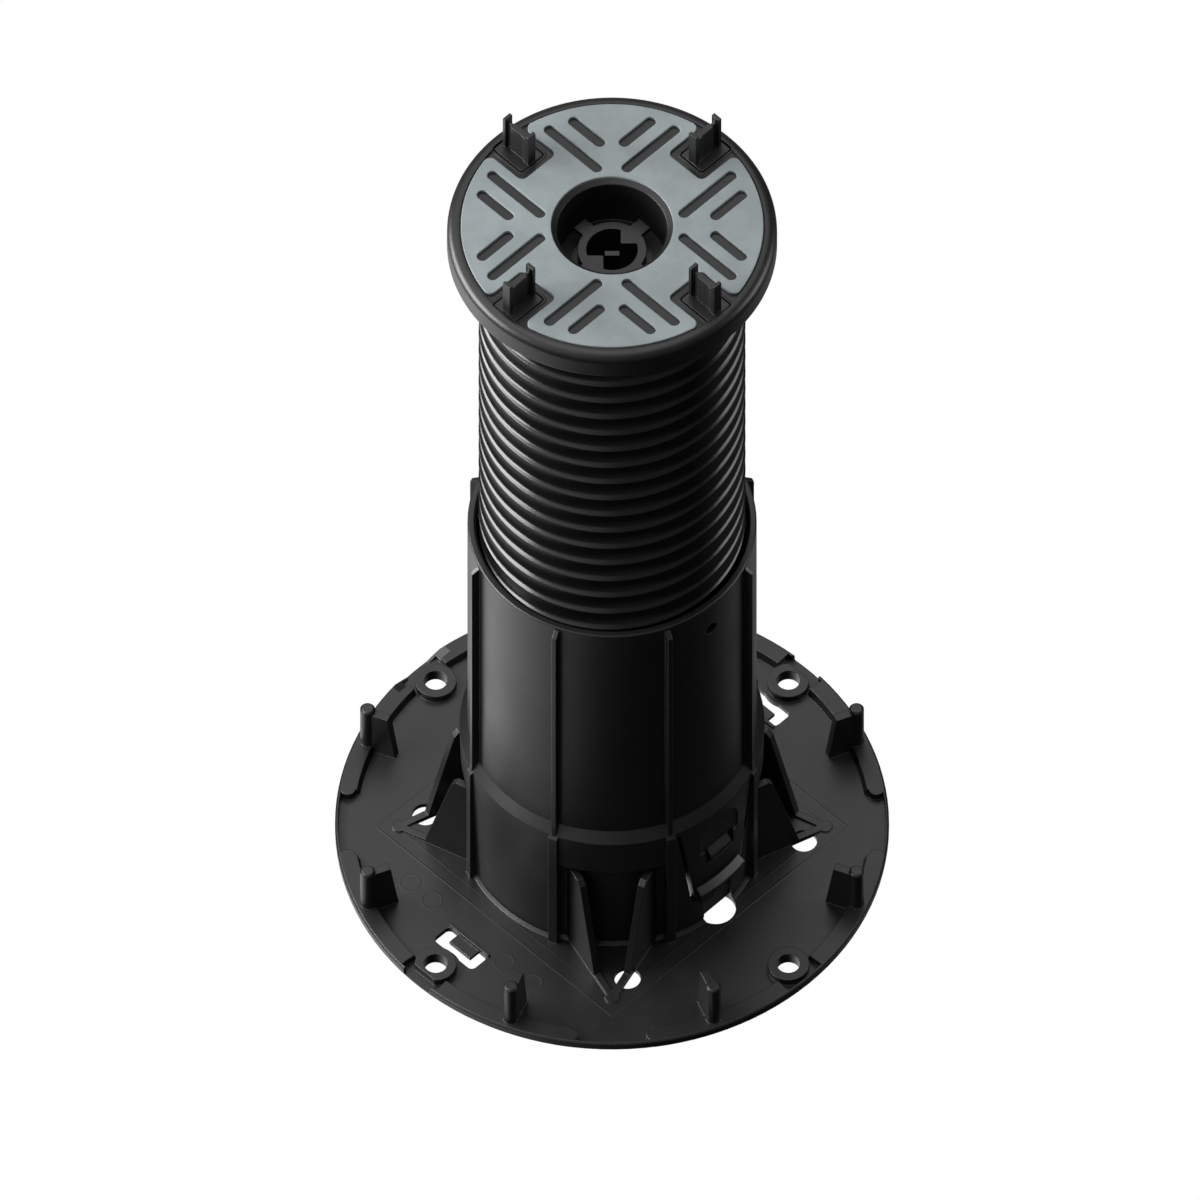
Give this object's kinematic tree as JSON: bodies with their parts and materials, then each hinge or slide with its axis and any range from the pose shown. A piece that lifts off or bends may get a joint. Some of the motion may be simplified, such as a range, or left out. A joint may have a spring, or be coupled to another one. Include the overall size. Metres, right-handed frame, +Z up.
{
  "type": "decking pedestal",
  "caption": "Height-adjustable decking pedestal: ribbed tube on a round base plate, coarse screw column, and a padded flat head with clip-in joint spacers.",
  "frame": {"origin": "centre of the base plate on the ground", "axes": "+Z up along the column, -Y to the front of the picture, +X to its right"},
  "size_m": [0.2, 0.2, 0.381],
  "materials": {
    "base_black": "satin moulded polypropylene",
    "screw_black": "satin moulded polypropylene",
    "bush_black": "satin moulded plastic",
    "head_black": "satin moulded polypropylene",
    "tab_black": "satin moulded polypropylene",
    "pad_grey": "matt soft elastomer"
  },
  "bodies": {
    "base": {"base": "base_black"},
    "head": {"head": "head_black", "pad": "pad_grey", "spacer_tab_1": "tab_black", "spacer_tab_2": "tab_black", "spacer_tab_3": "tab_black", "spacer_tab_4": "tab_black"},
    "screw": {"screw": "screw_black", "drive_bush": "bush_black"}
  },
  "joints": [
    {"name": "head_lift", "type": "slide", "parent": "base", "child": "head", "axis": [0, 0, 1], "range_m": [-0.1568, 0]},
    {"name": "screw_turn", "type": "hinge", "parent": "head", "child": "screw", "pos_m": [0, 0, 0.26], "axis": [0, 0, 1], "range_deg": [-5760, 0]}
  ],
  "couplings": [
    {"joint": "head_lift", "follows": "screw_turn", "m_per_rad": 0.0015597}
  ]
}
